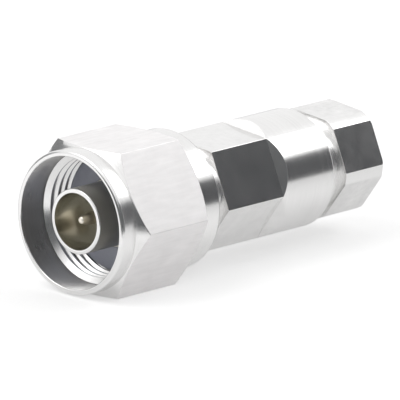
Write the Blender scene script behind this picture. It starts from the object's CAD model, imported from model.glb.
"""Looks of an n type coaxial plug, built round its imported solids. Lengths are in metres."""

import math

import bmesh
import bpy
from bpy.props import FloatProperty, FloatVectorProperty, IntProperty, PointerProperty
from mathutils import Matrix, Vector


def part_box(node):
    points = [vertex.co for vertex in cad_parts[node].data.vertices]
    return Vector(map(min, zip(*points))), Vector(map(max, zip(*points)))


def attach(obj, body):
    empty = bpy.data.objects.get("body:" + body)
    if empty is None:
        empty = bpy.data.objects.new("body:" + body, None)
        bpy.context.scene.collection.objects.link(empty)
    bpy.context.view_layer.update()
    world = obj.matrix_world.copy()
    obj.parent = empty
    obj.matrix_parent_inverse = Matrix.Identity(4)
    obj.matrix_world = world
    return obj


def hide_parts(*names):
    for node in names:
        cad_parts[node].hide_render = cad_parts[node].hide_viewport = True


bl_info = {
    "name": "N type plug",
    "version": (1, 0, 0),
    "blender": (4, 5, 0),
    "location": "View3D > Sidebar > Plug",
    "description": "Machined pieces, finishes and studio for an n type coaxial plug",
    "category": "Add Mesh",
}

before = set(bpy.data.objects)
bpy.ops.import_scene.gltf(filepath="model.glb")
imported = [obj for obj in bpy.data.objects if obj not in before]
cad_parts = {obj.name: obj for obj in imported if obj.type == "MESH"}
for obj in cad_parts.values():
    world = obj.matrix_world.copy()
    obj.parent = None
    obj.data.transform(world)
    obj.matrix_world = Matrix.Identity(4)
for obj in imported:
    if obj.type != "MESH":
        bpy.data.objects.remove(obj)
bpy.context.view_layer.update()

MM = 0.001
FULL_TURN = 2 * math.pi
FLAT_COUNT = 6
EPSILON = 1e-6
MILLED = 1  # place of the milled finish among a piece's finishes
PLAY = 0.05 * MM  # gap round the neck's rings
BURIED = 0.05 * MM  # how deep a thread's foot lies in its wall
FINE_EDGE, SMALL_EDGE, PLAIN_EDGE = 0.05 * MM, 0.1 * MM, 0.2 * MM
STOCK = 1.006  # width of the round bar before milling, as a share of the corners' width
TURNED_SHARE = 0.999  # share of its radius beyond which a turned face's middle lies
FLAT_SHARE = 0.86  # share of a flat's height beyond which all that it cuts lies
BORDER_ANGLE = math.radians(12)  # a flat's edge over this angle is rounded
SHARP_ANGLE = math.radians(38)  # an edge over this angle is shaded sharp
FLAT_AREA = 2 * MM ** 2  # a milled face over this area is shaded flat
MASK_LOW, MASK_HIGH = 0.3, 0.7  # range in which most of a noise lies
NUT_FRONT, NUT_END = (corner.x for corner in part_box("coupling_nut"))
NUT_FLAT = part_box("coupling_nut")[1].z
BODY_FRONT, BODY_END = (corner.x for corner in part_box("main_body"))
CLAMP_FRONT, CLAMP_END = (corner.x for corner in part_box("clamp_nut"))
CONTACT_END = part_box("outer_contact")[1].x
PIN_FRONT, PIN_END = (corner.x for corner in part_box("centre_contact"))
GASKET_FRONT, GASKET_END = (corner.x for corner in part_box("mating_gasket"))
FLOOR_HEIGHT = -NUT_FLAT


def length(name, default, description):
    """A length property in metres."""
    return FloatProperty(
        name=name, description=description, default=default, min=0, unit="LENGTH", precision=5
    )


def colour(name, default, description):
    """A linear colour property."""
    return FloatVectorProperty(
        name=name, description=description, default=default, min=0, max=1, size=3, subtype="COLOR"
    )


def factor(name, default, description):
    """A property from 0 to 1."""
    return FloatProperty(
        name=name, description=description, default=default, min=0, max=1, subtype="FACTOR"
    )


class CouplingNutSettings(bpy.types.PropertyGroup):
    """Sizes of the coupling nut."""

    mouth_radius: length("Mouth radius", 8.13 * MM, "Radius of the plain mouth")
    mouth_depth: length("Mouth depth", 3.95 * MM, "Depth of the plain mouth")
    thread_radius: length("Thread radius", 7.95 * MM, "Root radius of the inside thread")
    crest_radius: length("Crest radius", 7.42 * MM, "Crest radius of the inside thread")
    thread_pitch: length("Thread pitch", 1.058 * MM, "Axial distance between two crests")
    lead_in: length("Lead-in", 0.6 * MM, "Length of the bright cone in front of the thread")
    land_length: length("Land length", 0.15 * MM, "Length of the plain land behind the cone")
    land_step: length("Land step", 0.1 * MM, "Length of the step behind the land")
    thread_gap: length("Thread gap", 0.3 * MM, "Distance from the land to the first turn")
    collar_radius: length("Front collar radius", 8.85 * MM, "Radius of the round front end")
    collar_length: length("Front collar length", 2.25 * MM, "Length of the round front end")
    front_chamfer: length("Front chamfer", 0.92 * MM, "Length of the cone up to the corners")
    rear_radius: length("Rear collar radius", 8.65 * MM, "Radius of the round rear end")
    rear_length: length("Rear collar length", 2.9 * MM, "Length of the round rear end")
    rear_chamfer: length("Rear chamfer", 1.0 * MM, "Length of the cone behind the corners")
    bore_radius: length("Rear bore radius", 6.48 * MM, "Radius of the bore on the neck")
    wall_thickness: length("Rear wall", 5.45 * MM, "Thickness of the wall behind the thread")
    edge: length("Edge rounding", 0.12 * MM, "Rounding of the turned edges")
    rim_edge: length("Rim rounding", 0.4 * MM, "Rounding of the collar's front edge")
    flat_edge: length("Flat edge rounding", 0.06 * MM, "Rounding of the flats' edges")


class BodySettings(bpy.types.PropertyGroup):
    """Sizes of the main body."""

    neck_radius: length("Neck radius", 6.4 * MM, "Radius of the neck in the coupling nut")
    neck_length: length("Neck length", 9.45 * MM, "Length of the neck")
    ring_groove: length("Ring groove", 0.7 * MM, "Depth of the grooves for the neck's two rings")
    radius: length("Barrel radius", 7.4 * MM, "Radius of the barrel")
    flat_height: length("Flat height", 6.42 * MM, "Height of the flats above the axis")
    flat_length: length("Flat length", 9.75 * MM, "Length of the flats up to their ramps")
    bore_radius: length("Front bore radius", 5.58 * MM, "Radius of the front bore")
    rear_bore_radius: length("Rear bore radius", 6.05 * MM, "Radius of the bore for the clamp nut")
    rear_bore_length: length("Rear bore length", 8.35 * MM, "Length of the bore for the clamp nut")
    chamber_radius: length("Chamber radius", 5.2 * MM, "Radius of the chamber for the clamp")
    cone_radius: length("Cone radius", 3.0 * MM, "Radius of the small end of the chamber's cone")
    web_gap: length("Web gap", 0.58 * MM, "Gap between the web and the centre contact")
    turn: FloatProperty(
        name="Turn", description="Turn of the flats about the axis",
        default=math.radians(5.2), subtype="ANGLE",
    )
    edge: length("Edge rounding", 0.3 * MM, "Rounding of the barrel's rear edge")
    flat_edge: length("Flat edge rounding", 0.035 * MM, "Rounding of the flats' edges")


class ClampNutSettings(bpy.types.PropertyGroup):
    """Sizes of the clamp nut."""

    nose_radius: length("Nose radius", 5.1 * MM, "Radius of the nose")
    nose_length: length("Nose length", 5.2 * MM, "Length of the nose")
    shank_radius: length("Shank radius", 6.0 * MM, "Radius of the shank")
    shank_length: length("Shank length", 8.35 * MM, "Length of the shank")
    relief_length: length("Relief length", 3.0 * MM, "Plain part of the shank by the head")
    thread_depth: length("Thread depth", 0.5 * MM, "Depth of the shank's thread")
    thread_pitch: length("Thread pitch", 1.0 * MM, "Axial distance between two crests")
    head_radius: length("Head radius", 6.95 * MM, "Radius of the head between its flats")
    flat_height: length("Flat height", 6.35 * MM, "Height of the flats above the axis")
    bore_radius: length("Bore radius", 3.2 * MM, "Radius of the cable bore")
    bore_flare: length("Bore flare", 0.6 * MM, "Chamfer at the bore's end")
    turn: FloatProperty(
        name="Turn", description="Turn of the flats about the axis",
        default=math.radians(5.7), subtype="ANGLE",
    )
    edge: length("Edge rounding", 0.28 * MM, "Rounding of the head's rear edge")
    flat_edge: length("Flat edge rounding", 0.035 * MM, "Rounding of the flats' edges")


class ContactSettings(bpy.types.PropertyGroup):
    """Sizes of the contacts and the mating gasket."""

    sleeve_radius: length("Sleeve radius", 4.015 * MM, "Outer radius of the outer contact")
    sleeve_bore: length("Sleeve bore", 3.49 * MM, "Bore radius of the outer contact")
    root_radius: length("Root radius", 4.2 * MM, "Radius of the outer contact's root")
    sleeve_edge: length("Sleeve edge", 0.12 * MM, "Rounding of the outer contact's front end")
    pin_radius: length("Pin radius", 0.825 * MM, "Radius of the pin")
    pin_depth: length("Pin depth", 5.3 * MM, "Place where the pin meets its thicker section")
    tip_radius: length("Tip radius", 0.4 * MM, "Radius of the pin's end")
    tip_length: length("Tip length", 1.4 * MM, "Length of the pin's taper")
    taper_edge: length("Taper edge", 0.25 * MM, "Rounding where the taper ends")
    line_radius: length("Line radius", 1.52 * MM, "Radius of the section behind the pin")
    collar_radius: length("Collar radius", 2.02 * MM, "Radius of the collar in the insulator")
    collar_length: length("Collar length", 1.6 * MM, "Length of the collar in the insulator")
    stem_radius: length("Stem radius", 1.2 * MM, "Radius of the stem")
    cup_radius: length("Cup radius", 0.75 * MM, "Radius of the solder cup")
    cup_depth: length("Cup depth", 3.5 * MM, "Depth of the solder cup")
    gasket_radius: length("Gasket radius", 7.2 * MM, "Outer radius of the mating gasket")
    gasket_bore: length("Gasket bore", 4.22 * MM, "Bore radius of the mating gasket")
    gasket_edge: length("Gasket edge", 0.12 * MM, "Rounding of the gasket's edges")


class FinishSettings(bpy.types.PropertyGroup):
    """Colours and shine of the finishes."""

    plate: colour("Plate", (0.86, 0.855, 0.85), "Plated metal")
    flat_plate: colour("Flat plate", (0.895, 0.882, 0.882), "Plated metal of the brushed flats")
    warm_plate: colour("Warm plate", (0.59, 0.575, 0.52), "Plated metal of the contacts")
    pin_plate: colour("Pin plate", (0.95, 0.90, 0.80), "Plated metal of the pin")
    bronze: colour("Bronze", (0.66, 0.45, 0.26), "Spring bronze")
    silicone: colour("Silicone", (0.46, 0.475, 0.55), "Grey silicone rubber")
    bead: colour("Bead", (0.88, 0.86, 0.77), "White insulator")
    rubber: colour("Rubber", (0.02, 0.02, 0.02), "Black rubber")
    turned_roughness: factor("Turned roughness", 0.19, "Roughness of the turned plate")
    neck_roughness: factor("Neck roughness", 0.26, "Roughness of the neck")
    satin_roughness: factor("Satin roughness", 0.22, "Roughness of the coupling nut's collar")
    milled_roughness: factor("Milled roughness", 0.12, "Roughness of the milled flats")
    brushed_roughness: factor("Brushed roughness", 0.5, "Roughness of the coupling nut's flats")


class StudioSettings(bpy.types.PropertyGroup):
    """Camera, lamps and floor."""

    target_x: length("Target along the axis", 21.82 * MM, "Point that the camera looks at")
    target_drop: length("Target drop", 1.26 * MM, "How far that point lies below the axis")
    distance: length("Distance", 1216.5 * MM, "Distance from the camera to its target")
    azimuth: FloatProperty(
        name="Azimuth", description="Direction of the camera about the vertical",
        default=math.radians(-137.196), subtype="ANGLE",
    )
    elevation: FloatProperty(
        name="Elevation", description="Height of the camera above the horizon",
        default=math.radians(14.925), subtype="ANGLE",
    )
    roll: FloatProperty(
        name="Roll", description="Lean of the camera", default=math.radians(1.189),
        subtype="ANGLE",
    )
    view_angle: FloatProperty(
        name="View angle", description="Angle that the square image covers",
        default=math.radians(2.284), subtype="ANGLE",
    )
    world_light: FloatProperty(
        name="World light", description="Strength of the even light all round", default=0.62,
        min=0,
    )
    turn_steps: IntProperty(
        name="Turning steps", description="Faces round a turned piece", default=144, min=24
    )


def add_outline(bm, points):
    """A wire through (x, radius) points above the axis. A third number rounds that corner."""
    corners = [bm.verts.new((point[0], 0, point[1])) for point in points]
    closed = all(point[1] > 0 for point in points)
    for first, second in zip(corners, corners[1:] + corners[:1] if closed else corners[1:]):
        bm.edges.new((first, second))
    for corner, point in zip(corners, points):
        if len(point) > 2:
            bmesh.ops.bevel(
                bm, geom=[corner], offset=point[2], offset_type="OFFSET", segments=4,
                profile=0.5, affect="VERTICES", clamp_overlap=True, material=-1,
            )


def turned(points, steps):
    """A closed bmesh turned about the X axis from its outline."""
    bm = bmesh.new()
    add_outline(bm, points)
    bmesh.ops.spin(
        bm, geom=bm.verts[:] + bm.edges[:], cent=(0, 0, 0), axis=(1, 0, 0), dvec=(0, 0, 0),
        angle=FULL_TURN, steps=steps, use_merge=True, use_normal_flip=False,
        use_duplicate=False,
    )
    bmesh.ops.remove_doubles(bm, verts=bm.verts, dist=EPSILON)
    bmesh.ops.recalc_face_normals(bm, faces=bm.faces)
    return bm


def flat_normals(turn):
    """The outward directions of six flats, the first one straight up before the turn."""
    for number in range(FLAT_COUNT):
        angle = math.pi / 2 + turn + number * FULL_TURN / FLAT_COUNT
        yield Vector((0, math.cos(angle), math.sin(angle)))


def open_edges(bm):
    """The edges that only one face meets."""
    return [edge for edge in bm.edges if edge.is_boundary]


def split(bm, faces, point, normal, clear=False):
    """Cuts the faces along a plane and, if asked, clears what lies outside it."""
    parts = set(faces)
    parts.update(vert for face in faces for vert in face.verts)
    parts.update(edge for face in faces for edge in face.edges)
    bmesh.ops.bisect_plane(
        bm, geom=list(parts), dist=EPSILON, plane_co=point, plane_no=normal,
        clear_outer=clear, clear_inner=False,
    )


def mill(bm, height, turn, start, end):
    """Cuts six flats between two places along the axis."""
    for normal in flat_normals(turn):
        near = [
            face for face in bm.faces
            if start - EPSILON < face.calc_center_median().x < end + EPSILON
        ]
        split(bm, near, normal * height, normal, clear=True)
        for face in bmesh.ops.edgeloop_fill(bm, edges=open_edges(bm))["faces"]:
            face.material_index = MILLED
    bmesh.ops.recalc_face_normals(bm, faces=bm.faces)


def mill_with_ramps(bm, height, turn, start, end):
    """Cuts six flats from a shoulder to a 45 degree ramp, which runs out to the round."""
    for normal in flat_normals(turn):
        ramp = (normal - Vector((1, 0, 0))).normalized()
        foot = normal * height + Vector((end, 0, 0))
        for point, direction in ((normal * height, normal), (foot, ramp)):
            near = [
                face for face in bm.faces
                if face.calc_center_median().x > start - EPSILON
                and face.calc_center_median().dot(normal) > height * FLAT_SHARE
            ]
            split(bm, near, point, direction)
        chips = [
            face for face in bm.faces
            if (face.calc_center_median() - normal * height).dot(normal) > EPSILON
            and (face.calc_center_median() - foot).dot(ramp) > EPSILON
            and face.calc_center_median().x > start - EPSILON
        ]
        bmesh.ops.delete(bm, geom=chips, context="FACES")
        rim = open_edges(bm)
        ends = {
            vert for edge in rim for vert in edge.verts
            if abs((vert.co - foot).dot(normal)) < 2 * EPSILON
            and abs((vert.co - foot).dot(ramp)) < 2 * EPSILON
        }
        if len(ends) != 2:
            raise RuntimeError("a flat's ramp has lost its foot")
        rim.append(bm.edges.new(tuple(ends)))
        for face in bmesh.ops.holes_fill(bm, edges=rim, sides=0)["faces"]:
            face.material_index = MILLED
    bmesh.ops.recalc_face_normals(bm, faces=bm.faces)


def soften_flats(bm, size):
    """Rounds the edges of the flats."""
    bmesh.ops.dissolve_degenerate(bm, dist=size / 4, edges=bm.edges)
    border = [
        edge for edge in bm.edges
        if any(face.material_index == MILLED for face in edge.link_faces)
        and edge.calc_face_angle_signed(0) > BORDER_ANGLE
    ]
    bmesh.ops.bevel(
        bm, geom=border, offset=size, offset_type="OFFSET", segments=2, profile=0.5,
        affect="EDGES", clamp_overlap=True, material=-1,
    )


def coil(profile, pitch, turns, steps, first):
    """A closed helical ridge from the outline of its section."""
    bm = bmesh.new()
    corners = [bm.verts.new((first + x, 0, radius)) for x, radius in profile]
    bm.faces.new(corners)
    bmesh.ops.spin(
        bm, geom=bm.faces[:], cent=(0, 0, 0), axis=(1, 0, 0),
        dvec=(pitch / steps, 0, 0), angle=FULL_TURN * turns, steps=round(steps * turns),
        use_merge=False, use_normal_flip=False, use_duplicate=False,
    )
    return bm


def finish_named(name):
    """A finish that the finishes operator has made."""
    material = bpy.data.materials.get(name)
    if material is None:
        raise RuntimeError(f"the finish {name} hasn't been made")
    return material


def piece(name, bm, body, finishes, replaced=()):
    """A finished piece that rides on its body, with its flats kept flat to their edges."""
    for face in bm.faces:
        face.smooth = True
    for edge in bm.edges:
        edge.smooth = edge.calc_face_angle(0) < SHARP_ANGLE and not any(
            face.material_index == MILLED and face.calc_area() > FLAT_AREA
            for face in edge.link_faces
        )
    mesh = bpy.data.meshes.new(name)
    bm.to_mesh(mesh)
    bm.free()
    for finish in finishes:
        mesh.materials.append(finish_named(finish))
    made = bpy.data.objects.new(name, mesh)
    bpy.context.scene.collection.objects.link(made)
    shading = made.modifiers.new("Even shading", "WEIGHTED_NORMAL")
    shading.keep_sharp = True
    shading.weight = 80
    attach(made, body)
    if replaced:
        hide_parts(*replaced)


def shaded(shade, share):
    """A colour scaled by a share of its brightness."""
    return tuple(min(1.0, part * share) for part in shade)


class Value:
    """A number socket that adds Math nodes where an expression uses it."""

    def __init__(self, finish, socket):
        self.finish = finish
        self.socket = socket

    def __add__(self, other):
        return self.finish.math("ADD", self, other)

    def __radd__(self, other):
        return self.finish.math("ADD", other, self)

    def __sub__(self, other):
        return self.finish.math("SUBTRACT", self, other)

    def __rsub__(self, other):
        return self.finish.math("SUBTRACT", other, self)

    def __mul__(self, other):
        return self.finish.math("MULTIPLY", self, other)

    def __rmul__(self, other):
        return self.finish.math("MULTIPLY", other, self)


class Finish:
    """A procedural material on Object coordinates."""

    def __init__(self, name, **constants):
        self.material = bpy.data.materials.new(name)
        self.material.use_nodes = True
        self.tree = self.material.node_tree
        self.shader = self.tree.nodes["Principled BSDF"]
        for socket, value in constants.items():
            self.shader.inputs[socket.replace("_", " ")].default_value = value
        self.place = self.node("ShaderNodeTexCoord", {}, {}, "Object")

    def node(self, kind, settings, sockets, output=0):
        """Adds a node with its settings, such as a ramp's two stops, then values and links."""
        made = self.tree.nodes.new(kind)
        for name, value in settings.items():
            if name == "stops":
                for element, (position, shade) in zip(made.color_ramp.elements, value):
                    element.position = position
                    element.color = (*shade, 1)
            else:
                setattr(made, name, value)
        for key, value in sockets.items():
            if isinstance(value, Value):
                self.tree.links.new(value.socket, made.inputs[key])
            else:
                made.inputs[key].default_value = value
        return Value(self, made.outputs[output])

    def math(self, operation, *operands):
        """The result of one Math node."""
        return self.node(
            "ShaderNodeMath", {"operation": operation}, dict(enumerate(operands))
        )

    def feed(self, **values):
        """Links values to the shader's sockets."""
        for socket, value in values.items():
            self.tree.links.new(value.socket, self.shader.inputs[socket.replace("_", " ")])

    def noise(self, scale, detail=2.0, roughness=0.5, stretch=(1, 1, 1), place=None):
        """Noise from 0 to 1, with its grain drawn out along an axis by a small stretch."""
        placed = self.node(
            "ShaderNodeMapping", {"vector_type": "POINT"},
            {"Vector": place or self.place, "Scale": stretch},
        )
        return self.node(
            "ShaderNodeTexNoise", {"noise_dimensions": "3D"},
            {"Vector": placed, "Scale": scale, "Detail": detail, "Roughness": roughness},
        )

    def around(self, scale):
        """Rings round the axis, drawn from the place along it and the radius alone."""
        along, across, up = (
            self.node("ShaderNodeSeparateXYZ", {}, {"Vector": self.place}, axis) for axis in "XYZ"
        )
        radius = self.math("SQRT", across * across + up * up)
        rings = self.node("ShaderNodeCombineXYZ", {}, {"X": along, "Y": radius, "Z": 0.0})
        return self.noise(scale, detail=3.0, place=rings)

    def within(self, mask, low, high):
        """A number that goes from low to high with the mask."""
        ends = {"From Min": MASK_LOW, "From Max": MASK_HIGH, "To Min": low, "To Max": high}
        return self.node("ShaderNodeMapRange", {"clamp": True}, {"Value": mask, **ends})

    def beyond(self, reach, start, end):
        """A number that rises from 0 at the start to 1 at the end."""
        return self.node(
            "ShaderNodeMapRange", {"clamp": True, "interpolation_type": "SMOOTHSTEP"},
            {"Value": reach, "From Min": start, "From Max": end, "To Min": 0.0, "To Max": 1.0},
        )

    def shades(self, mask, shade, low, high):
        """The shade, scaled by a share that goes from low to high with the mask."""
        stops = ((MASK_LOW, shaded(shade, low)), (MASK_HIGH, shaded(shade, high)))
        return self.node("ShaderNodeValToRGB", {"stops": stops}, {"Fac": mask})

    def bumps(self, height, distance):
        """A normal from the height."""
        return self.node(
            "ShaderNodeBump", {}, {"Height": height, "Distance": distance, "Strength": 1.0},
            "Normal",
        )


def turned_metal(name, shade, roughness, variation=0.05):
    """Lathe-turned plate with fine rings and faint clouds."""
    made = Finish(name, Metallic=1.0)
    rings = made.around(5200)
    clouds = made.noise(260, detail=3.0)
    mask = rings * 0.55 + clouds * 0.45
    made.feed(
        Base_Color=made.shades(mask, shade, 1 - variation, 1 + variation / 2),
        Roughness=made.within(clouds * 0.5 + rings * 0.5, roughness * 0.8, roughness * 1.2),
        Normal=made.bumps(rings, 0.6e-6),
    )
    return made.material


def milled_metal(name, shade, roughness, variation=0.07):
    """A smooth milled flat with faint cloudy stains."""
    made = Finish(name, Metallic=1.0)
    clouds = made.noise(420, detail=4.0, roughness=0.6)
    stains = made.noise(1400, detail=2.0)
    made.feed(
        Base_Color=made.shades(
            clouds * 0.7 + stains * 0.3, shade, 1 - variation, 1 + variation / 2
        ),
        Roughness=made.within(clouds, roughness * 0.85, roughness * 1.2),
        Normal=made.bumps(clouds, 1.5e-6),
    )
    return made.material


def brushed_metal(name, shade, roughness):
    """A brushed flat, whose grain runs along the axis."""
    made = Finish(name, Metallic=1.0)
    grain = made.noise(6500, detail=4.0, roughness=0.6, stretch=(0.045, 1, 1))
    broad = made.noise(2300, detail=3.0, stretch=(0.13, 1, 1))
    clouds = made.noise(380, detail=4.0, roughness=0.6)
    mask = grain * 0.15 + broad * 0.4 + clouds * 0.45
    made.feed(
        Base_Color=made.shades(mask, shade, 0.91, 1.06),
        Roughness=made.within(grain * 0.6 + clouds * 0.4, roughness * 0.85, roughness * 1.15),
        Normal=made.bumps(grain, 2.0e-6),
    )
    return made.material


def cast_metal(name, shade, roughness):
    """Plain bar metal of the pieces inside."""
    made = Finish(name, Metallic=1.0)
    clouds = made.noise(500, detail=3.0)
    rings = made.around(3000)
    made.feed(
        Base_Color=made.shades(clouds, shade, 0.88, 1.05),
        Roughness=made.within(rings, roughness * 0.8, roughness * 1.25),
        Normal=made.bumps(rings, 1.0e-6),
    )
    return made.material


def moulded(name, shade, roughness, grain, variation=0.06, **constants):
    """A rubber or plastic with a fine grain and faint clouds."""
    made = Finish(name, **constants)
    clouds = made.noise(grain * 0.2, detail=3.0)
    grains = made.noise(grain, detail=4.0, roughness=0.6)
    made.feed(
        Base_Color=made.shades(
            clouds * 0.5 + grains * 0.5, shade, 1 - variation, 1 + variation
        ),
        Roughness=made.within(grains, roughness * 0.85, min(1.0, roughness * 1.12)),
        Normal=made.bumps(grains, 0.006 * MM),
    )
    return made.material


class MakeFinishes(bpy.types.Operator):
    """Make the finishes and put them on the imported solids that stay"""

    bl_idname = "n_plug.finishes"
    bl_label = "Finishes"

    def execute(self, context):
        sizes = context.scene.n_plug_finish
        plate, warm = tuple(sizes.plate), tuple(sizes.warm_plate)
        turned_metal("turned plate", plate, sizes.turned_roughness)
        turned_metal("neck plate", plate, sizes.neck_roughness)
        turned_metal("satin plate", plate, sizes.satin_roughness)
        turned_metal("bored plate", shaded(plate, 1.06), roughness=0.32)
        turned_metal("rim plate", shaded(plate, 0.14), roughness=0.45)
        milled_metal("milled plate", plate, sizes.milled_roughness)
        brushed_metal("brushed plate", tuple(sizes.flat_plate), sizes.brushed_roughness)
        turned_metal("contact plate", shaded(warm, 1.15), roughness=0.22, variation=0.08)
        turned_metal("contact satin", shaded(warm, 0.75), roughness=0.34, variation=0.08)
        milled_metal("stained plate", plate, roughness=0.18, variation=0.12)
        turned_metal("pin plate", tuple(sizes.pin_plate), roughness=0.32)
        cast_metal("shell plate", shaded(plate, 0.9), roughness=0.25)
        cast_metal("spring bronze", tuple(sizes.bronze), roughness=0.3)
        moulded("grey silicone", tuple(sizes.silicone), roughness=0.55, grain=5200)
        moulded(
            "white bead", tuple(sizes.bead), roughness=0.5, grain=3000, variation=0.03,
            Specular_IOR_Level=0.35,
        )
        moulded("black rubber", tuple(sizes.rubber), roughness=0.6, grain=4200, variation=0.15)
        worn_by = {
            "shell plate": ("front_shell", "insulator_ring", "braid_clamp", "clamp_washer"),
            "spring bronze": ("coupling_snap_ring", "thrust_washer"),
            "white bead": ("front_insulator", "rear_insulator", "solder_bush"),
            "black rubber": (
                "coupling_o_ring", "shell_o_ring", "clamp_nut_o_ring", "cable_gasket",
            ),
        }
        for name, nodes in worn_by.items():
            for node in nodes:
                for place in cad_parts[node].material_slots:
                    place.material = finish_named(name)
        return {"FINISHED"}


class MakeCouplingNut(bpy.types.Operator):
    """Make the coupling nut and its inside thread"""

    bl_idname = "n_plug.coupling_nut"
    bl_label = "Coupling nut"

    def execute(self, context):
        sizes = context.scene.n_plug_nut
        steps = context.scene.n_plug_studio.turn_steps
        land = NUT_FRONT + sizes.mouth_depth + sizes.lead_in
        shoulder = NUT_END - sizes.wall_thickness
        self.add_nut(sizes, steps, land, shoulder)
        self.add_thread(sizes, steps, land, shoulder)
        return {"FINISHED"}

    def add_nut(self, sizes, steps, land, shoulder):
        """The nut between its collars, with a darker edge at its rear rim."""
        corner = NUT_FLAT / math.cos(math.pi / FLAT_COUNT)
        over = corner * STOCK
        collar_end = NUT_FRONT + sizes.collar_length
        front_slope = sizes.front_chamfer / (corner - sizes.collar_radius)
        rear_start = NUT_END - sizes.rear_length
        rear_slope = sizes.rear_chamfer / (corner - sizes.rear_radius)
        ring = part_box("coupling_snap_ring")
        groove_front, groove_rear = ring[0].x - PLAY, ring[1].x + PLAY
        groove_radius = ring[1].z + PLAY
        edge = sizes.edge
        outline = [
            (NUT_FRONT, sizes.mouth_radius, edge),
            (NUT_FRONT, sizes.collar_radius, sizes.rim_edge),
            (collar_end, sizes.collar_radius),
            (collar_end + front_slope * (over - sizes.collar_radius), over),
            (rear_start - rear_slope * (over - sizes.rear_radius), over),
            (rear_start, sizes.rear_radius, edge / 2),
            (NUT_END, sizes.rear_radius, edge),
            (NUT_END, sizes.bore_radius, edge),
            (groove_rear, sizes.bore_radius),
            (groove_rear, groove_radius),
            (groove_front, groove_radius),
            (groove_front, sizes.bore_radius),
            (shoulder, sizes.bore_radius),
            (shoulder, sizes.thread_radius),
            (land + sizes.land_step, sizes.thread_radius),
            (land, sizes.crest_radius),
            (land - sizes.land_length, sizes.crest_radius),
            (NUT_FRONT + sizes.mouth_depth, sizes.mouth_radius),
        ]
        bm = turned(outline, steps)
        mill(bm, NUT_FLAT, 0.0, collar_end, rear_start)
        soften_flats(bm, sizes.flat_edge)
        finishes = ("turned plate", "brushed plate", "satin plate", "bored plate", "rim plate")
        for face in bm.faces:
            middle = face.calc_center_median()
            depth, radius = middle.x - NUT_FRONT, math.hypot(middle.y, middle.z)
            on_mouth_wall = TURNED_SHARE < radius / sizes.mouth_radius < 1
            if middle.x > NUT_END - edge and radius > sizes.rear_radius - edge:
                face.material_index = finishes.index("rim plate")
            elif on_mouth_wall and edge < depth < sizes.mouth_depth:
                face.material_index = finishes.index("bored plate")
            elif depth < sizes.collar_length and radius > sizes.collar_radius * TURNED_SHARE:
                face.material_index = finishes.index("satin plate")
        piece("coupling_nut_body", bm, "coupling_nut", finishes, ["coupling_nut"])

    def add_thread(self, sizes, steps, land, shoulder):
        """The inside thread's turns between the land and the shoulder."""
        pitch, crest = sizes.thread_pitch, sizes.crest_radius
        root = sizes.thread_radius + BURIED
        foot, top = 0.45 * pitch, 0.1 * pitch
        section = [(-foot, root), (-top, crest), (top, crest), (foot, root)]
        first = land + sizes.thread_gap
        turns = (shoulder - first) / pitch - 1
        bm = coil(section, pitch, turns, steps, first)
        piece("coupling_nut_thread", bm, "coupling_nut", ("turned plate",))


class MakeBody(bpy.types.Operator):
    """Make the main body with its six run-out flats"""

    bl_idname = "n_plug.body"
    bl_label = "Main body"

    def execute(self, context):
        sizes = context.scene.n_plug_body
        shoulder = BODY_FRONT + sizes.neck_length
        chamber_front = BODY_END - sizes.rear_bore_length
        web_front, web_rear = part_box("insulator_ring")[1].x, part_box("braid_clamp")[0].x
        web_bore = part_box("centre_contact")[1].z + sizes.web_gap
        cone_length = sizes.chamber_radius - sizes.cone_radius
        outline = [(BODY_FRONT, sizes.bore_radius), (BODY_FRONT, sizes.neck_radius, PLAIN_EDGE)]
        for ring in ("coupling_o_ring", "coupling_snap_ring"):
            front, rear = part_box(ring)[0].x - PLAY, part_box(ring)[1].x + PLAY
            floor = sizes.neck_radius - sizes.ring_groove
            outline += [(front, sizes.neck_radius), (front, floor)]
            outline += [(rear, floor), (rear, sizes.neck_radius)]
        outline += [
            (shoulder, sizes.neck_radius),
            (shoulder, sizes.radius, FINE_EDGE),
            (BODY_END, sizes.radius, sizes.edge),
            (BODY_END, sizes.rear_bore_radius, SMALL_EDGE),
            (chamber_front, sizes.rear_bore_radius),
            (chamber_front, sizes.chamber_radius),
            (web_rear + cone_length, sizes.chamber_radius),
            (web_rear, sizes.cone_radius),
            (web_rear, web_bore),
            (web_front, web_bore),
            (web_front, sizes.bore_radius),
        ]
        bm = turned(outline, context.scene.n_plug_studio.turn_steps)
        mill_with_ramps(bm, sizes.flat_height, sizes.turn, shoulder, shoulder + sizes.flat_length)
        soften_flats(bm, sizes.flat_edge)
        finishes = ("turned plate", "milled plate", "neck plate")
        for face in bm.faces:
            if face.calc_center_median().x < shoulder - EPSILON:
                face.material_index = finishes.index("neck plate")
        piece("main_body_barrel", bm, "connector_body", finishes, ["main_body"])
        return {"FINISHED"}


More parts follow.
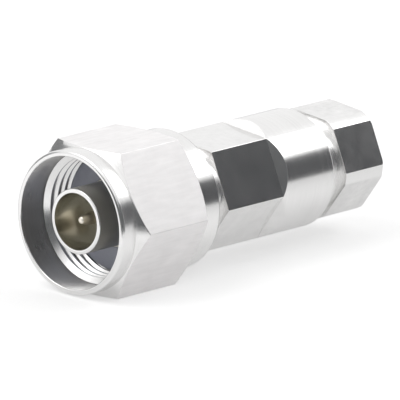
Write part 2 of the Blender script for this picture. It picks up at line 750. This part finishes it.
class MakeClampNut(bpy.types.Operator):
    """Make the clamp nut and its outside thread"""

    bl_idname = "n_plug.clamp_nut"
    bl_label = "Clamp nut"

    def execute(self, context):
        sizes = context.scene.n_plug_clamp
        steps = context.scene.n_plug_studio.turn_steps
        nose_end = CLAMP_FRONT + sizes.nose_length
        shank_end = nose_end + sizes.shank_length
        relief_start = shank_end - sizes.relief_length
        self.add_nut(sizes, steps, nose_end, relief_start, shank_end)
        self.add_thread(sizes, steps, nose_end, relief_start)
        return {"FINISHED"}

    def add_nut(self, sizes, steps, nose_end, relief_start, shank_end):
        """The nut's nose, shank, plain relief and flatted head."""
        core = sizes.shank_radius - sizes.thread_depth
        outline = [
            (CLAMP_FRONT, sizes.bore_radius),
            (CLAMP_FRONT, sizes.nose_radius, PLAIN_EDGE),
            (nose_end, sizes.nose_radius),
            (nose_end, core),
            (relief_start - sizes.thread_depth, core),
            (relief_start, sizes.shank_radius),
            (shank_end, sizes.shank_radius),
            (shank_end, sizes.head_radius, FINE_EDGE),
            (CLAMP_END, sizes.head_radius, sizes.edge),
            (CLAMP_END, sizes.bore_radius + sizes.bore_flare, SMALL_EDGE),
            (CLAMP_END - sizes.bore_flare, sizes.bore_radius, PLAIN_EDGE),
        ]
        bm = turned(outline, steps)
        mill(bm, sizes.flat_height, sizes.turn, shank_end, CLAMP_END)
        soften_flats(bm, sizes.flat_edge)
        finishes = ("turned plate", "stained plate", "neck plate")
        for face in bm.faces:
            if relief_start < face.calc_center_median().x < shank_end - EPSILON:
                face.material_index = finishes.index("neck plate")
        piece("clamp_nut_body", bm, "clamp_nut", finishes, ["clamp_nut"])

    def add_thread(self, sizes, steps, nose_end, relief_start):
        """The shank's thread between the nose and the relief."""
        pitch, crest = sizes.thread_pitch, sizes.shank_radius
        root = sizes.shank_radius - sizes.thread_depth - BURIED
        foot, top = 0.42 * pitch, 0.08 * pitch
        section = [(-foot, root), (foot, root), (top, crest), (-top, crest)]
        first = nose_end + 0.6 * pitch
        turns = (relief_start - first) / pitch - 0.2
        bm = coil(section, pitch, turns, steps, first)
        piece("clamp_nut_thread", bm, "clamp_nut", ("turned plate",))


class MakeContacts(bpy.types.Operator):
    """Make the outer contact, the centre contact and the mating gasket"""

    bl_idname = "n_plug.contacts"
    bl_label = "Contacts and mating gasket"

    def execute(self, context):
        sizes = context.scene.n_plug_contacts
        steps = context.scene.n_plug_studio.turn_steps
        self.add_sleeve(sizes, steps)
        self.add_pin(sizes, steps)
        self.add_gasket(sizes, steps)
        return {"FINISHED"}

    def add_sleeve(self, sizes, steps):
        """The outer contact, brighter inside and at its front edge."""
        edge, inner_edge = sizes.sleeve_edge, sizes.sleeve_edge * 0.3
        outline = [
            (0.0, sizes.sleeve_bore, inner_edge),
            (0.0, sizes.sleeve_radius, edge),
            (GASKET_FRONT, sizes.sleeve_radius),
            (GASKET_FRONT, sizes.root_radius),
            (CONTACT_END, sizes.root_radius, edge),
            (CONTACT_END, sizes.sleeve_bore),
        ]
        bm = turned(outline, steps)
        finishes = ("contact plate", "turned plate", "contact satin")
        for face in bm.faces:
            middle = face.calc_center_median()
            radius = math.hypot(middle.y, middle.z)
            if middle.x < edge and radius > sizes.sleeve_bore + inner_edge:
                face.material_index = finishes.index("turned plate")
            elif middle.x < CONTACT_END and radius > sizes.sleeve_bore:
                face.material_index = finishes.index("contact satin")
        piece(
            "outer_contact_sleeve", bm, "connector_body", finishes,
            ["outer_contact"],
        )

    def add_pin(self, sizes, steps):
        """The centre contact from its pin to its solder cup."""
        collar_end = CONTACT_END + sizes.collar_length
        cup = PIN_END - sizes.cup_depth
        outline = [
            (PIN_FRONT, 0.0),
            (PIN_FRONT, sizes.tip_radius, PLAIN_EDGE),
            (PIN_FRONT + sizes.tip_length, sizes.pin_radius, sizes.taper_edge),
            (sizes.pin_depth, sizes.pin_radius),
            (sizes.pin_depth, sizes.line_radius, SMALL_EDGE),
            (CONTACT_END, sizes.line_radius),
            (CONTACT_END, sizes.collar_radius),
            (collar_end, sizes.collar_radius),
            (collar_end, sizes.stem_radius),
            (PIN_END, sizes.stem_radius),
            (PIN_END, sizes.cup_radius),
            (cup, sizes.cup_radius),
            (cup, 0.0),
        ]
        piece(
            "centre_contact_pin", turned(outline, steps), "connector_body",
            ("pin plate",), ["centre_contact"],
        )

    def add_gasket(self, sizes, steps):
        """The flat ring round the outer contact's foot."""
        outline = [
            (GASKET_FRONT, sizes.gasket_bore, sizes.gasket_edge),
            (GASKET_FRONT, sizes.gasket_radius, sizes.gasket_edge),
            (GASKET_END, sizes.gasket_radius),
            (GASKET_END, sizes.gasket_bore),
        ]
        piece(
            "mating_gasket_ring", turned(outline, steps), "connector_body",
            ("grey silicone",), ["mating_gasket"],
        )


class MakeStudio(bpy.types.Operator):
    """Make the floor, the lamps, the cards and the camera"""

    bl_idname = "n_plug.studio"
    bl_label = "Studio"

    def execute(self, context):
        sizes = context.scene.n_plug_studio
        self.add_floor()
        self.add_world(sizes)
        self.add_cards()
        self.add_lamps()
        self.add_camera(sizes)
        context.scene.view_settings.view_transform = "Standard"
        return {"FINISHED"}

    def add_floor(self):
        """A plain pale floor that keeps the plug's soft shadow."""
        bm = bmesh.new()
        bmesh.ops.create_grid(bm, x_segments=1, y_segments=1, size=2.5)
        bmesh.ops.translate(bm, verts=bm.verts, vec=(0, 0, FLOOR_HEIGHT))
        mesh = bpy.data.meshes.new("floor")
        bm.to_mesh(mesh)
        bm.free()
        made = Finish("pale floor", Roughness=0.9, Specular_IOR_Level=0.1)
        straight, mirrored, bent = (
            made.node("ShaderNodeLightPath", {}, {}, path)
            for path in ("Is Camera Ray", "Is Glossy Ray", "Is Transmission Ray")
        )
        reach = made.node(
            "ShaderNodeVectorMath", {"operation": "LENGTH"}, {0: made.place}, "Value"
        )
        along = made.node("ShaderNodeSeparateXYZ", {}, {"Vector": made.place}, "X")
        away = made.beyond(reach, 25 * MM, 90 * MM)
        ahead = made.beyond(along, -10 * MM, -40 * MM)
        seen_glow, near_glow, bent_glow = 0.42, 0.27, 0.2
        away_loss, ahead_gain = 0.15, 0.28
        mirrored_glow = near_glow - away * away_loss + ahead * ahead_gain
        glow = straight * seen_glow + mirrored * mirrored_glow + bent * bent_glow
        clouds = made.noise(6, detail=2.0)
        white = (1.0, 1.0, 1.0)
        made.feed(
            Base_Color=made.shades(clouds, white, 0.78, 0.80),
            Emission_Color=made.shades(clouds, white, 1.0, 0.998),
            Emission_Strength=glow,
        )
        mesh.materials.append(made.material)
        floor = bpy.data.objects.new("floor", mesh)
        bpy.context.scene.collection.objects.link(floor)

    def add_world(self, sizes):
        """Even white light, which cameras and mirrors see as plain white."""
        world = bpy.data.worlds.new("studio")
        world.use_nodes = True
        bpy.context.scene.world = world
        nodes, links = world.node_tree.nodes, world.node_tree.links
        light = nodes["Background"]
        light.inputs["Color"].default_value = (1, 1, 1, 1)
        light.inputs["Strength"].default_value = sizes.world_light
        white = nodes.new("ShaderNodeBackground")
        white.inputs["Strength"].default_value = 1.0
        white.inputs["Color"].default_value = (1, 1, 1, 1)
        path = nodes.new("ShaderNodeLightPath")
        both = nodes.new("ShaderNodeMath")
        both.operation = "MAXIMUM"
        links.new(path.outputs["Is Camera Ray"], both.inputs[0])
        either = nodes.new("ShaderNodeMath")
        either.operation = "MAXIMUM"
        links.new(path.outputs["Is Glossy Ray"], either.inputs[0])
        links.new(path.outputs["Is Transmission Ray"], either.inputs[1])
        links.new(either.outputs[0], both.inputs[1])
        mix = nodes.new("ShaderNodeMixShader")
        links.new(both.outputs[0], mix.inputs[0])
        links.new(light.outputs[0], mix.inputs[1])
        links.new(white.outputs[0], mix.inputs[2])
        links.new(mix.outputs[0], nodes["World Output"].inputs["Surface"])

    def card(self, name, azimuth, width, distance, height, shade):
        """A curved card that stands on the floor and shows only in the plug's reflections."""
        bm = bmesh.new()
        centre = Vector((BODY_END / 2, 0, 0))
        foot = centre + self.direction(azimuth - width / 2, 0) * distance
        foot.z = FLOOR_HEIGHT
        bm.edges.new([bm.verts.new(foot), bm.verts.new(foot + Vector((0, 0, height)))])
        bmesh.ops.spin(
            bm, geom=bm.verts[:] + bm.edges[:], cent=centre, axis=(0, 0, 1), dvec=(0, 0, 0),
            angle=width, steps=24, use_merge=False, use_normal_flip=False, use_duplicate=False,
        )
        mesh = bpy.data.meshes.new(name)
        bm.to_mesh(mesh)
        bm.free()
        made = Finish(name, Roughness=0.9, Specular_IOR_Level=0.0)
        clouds = made.noise(8, detail=2.0)
        made.feed(Base_Color=made.shades(clouds, shade, 0.97, 1.03))
        mesh.materials.append(made.material)
        card = bpy.data.objects.new(name, mesh)
        bpy.context.scene.collection.objects.link(card)
        card.visible_camera = False
        card.visible_diffuse = False
        card.visible_shadow = False

    def add_cards(self):
        """The dark cards that the plated surfaces mirror."""
        dark, grey, pale = (0.115, 0.117, 0.122), (0.18, 0.185, 0.19), (0.31, 0.315, 0.32)
        for name, azimuth, width, distance, height, shade in (
            ("side_card", -41, 40, 0.16, 0.083, dark),
            ("front_card", -110, 70, 0.075, 0.05, grey),
            ("mouth_card", -171, 52, 0.06, 0.025, grey),
            ("far_card", 108, 34, 0.35, 0.165, pale),
        ):
            self.card(name, math.radians(azimuth), math.radians(width), distance, height, shade)

    def add_lamps(self):
        """Two soft boxes."""
        for name, azimuth, elevation, distance, size, power in (
            ("key", -25, 42, 0.8, 0.35, 0.8),
            ("fill", 150, 55, 0.9, 0.6, 2.0),
        ):
            lamp = bpy.data.lights.new(name, "AREA")
            lamp.shape = "SQUARE"
            lamp.size = size
            lamp.energy = power
            stand = bpy.data.objects.new(name, lamp)
            bpy.context.scene.collection.objects.link(stand)
            direction = self.direction(math.radians(azimuth), math.radians(elevation))
            stand.location = Vector((BODY_FRONT, 0, 0)) + direction * distance
            stand.rotation_euler = direction.to_track_quat("Z", "Y").to_euler()

    def direction(self, azimuth, elevation):
        """The unit vector in that direction."""
        level = math.cos(elevation)
        return Vector((
            level * math.cos(azimuth), level * math.sin(azimuth), math.sin(elevation)
        ))

    def add_camera(self, sizes):
        """The camera at the photograph's angle."""
        data = bpy.data.cameras.new("camera")
        data.angle = sizes.view_angle
        data.clip_end = 10
        camera = bpy.data.objects.new("camera", data)
        bpy.context.scene.collection.objects.link(camera)
        back = self.direction(sizes.azimuth, sizes.elevation)
        level = Vector((-math.sin(sizes.azimuth), math.cos(sizes.azimuth), 0))
        upright = back.cross(level)
        right = level * math.cos(sizes.roll) + upright * math.sin(sizes.roll)
        up = upright * math.cos(sizes.roll) - level * math.sin(sizes.roll)
        target = Vector((sizes.target_x, 0, -sizes.target_drop))
        turn = Matrix((right, up, back)).transposed().to_4x4()
        camera.matrix_world = Matrix.Translation(target + back * sizes.distance) @ turn
        bpy.context.scene.camera = camera


class PlugPanel(bpy.types.Panel):
    """The plug's pieces and sizes"""

    bl_idname = "VIEW3D_PT_n_plug"
    bl_label = "N type plug"
    bl_space_type = "VIEW_3D"
    bl_region_type = "UI"
    bl_category = "Plug"

    def draw(self, context):
        column = self.layout.column()
        for operator in OPERATORS:
            column.operator(operator.bl_idname)
        for group in SETTINGS:
            settings = getattr(context.scene, group)
            for name in settings.__annotations__:
                column.prop(settings, name)


SETTINGS = {
    "n_plug_nut": CouplingNutSettings,
    "n_plug_body": BodySettings,
    "n_plug_clamp": ClampNutSettings,
    "n_plug_contacts": ContactSettings,
    "n_plug_finish": FinishSettings,
    "n_plug_studio": StudioSettings,
}
OPERATORS = (
    MakeFinishes, MakeCouplingNut, MakeBody, MakeClampNut, MakeContacts, MakeStudio,
)


def register():
    """Makes the settings, the operators and the panel known to Blender."""
    for made in (*SETTINGS.values(), *OPERATORS, PlugPanel):
        bpy.utils.register_class(made)
    for name, group in SETTINGS.items():
        setattr(bpy.types.Scene, name, PointerProperty(type=group))


def unregister():
    """Takes them away again."""
    for name in SETTINGS:
        delattr(bpy.types.Scene, name)
    for made in (PlugPanel, *reversed(OPERATORS), *reversed(SETTINGS.values())):
        bpy.utils.unregister_class(made)


def main():
    """Makes every piece and the studio."""
    register()
    bpy.ops.n_plug.finishes()
    bpy.ops.n_plug.coupling_nut()
    bpy.ops.n_plug.body()
    bpy.ops.n_plug.clamp_nut()
    bpy.ops.n_plug.contacts()
    bpy.ops.n_plug.studio()


if __name__ == "__main__":
    main()
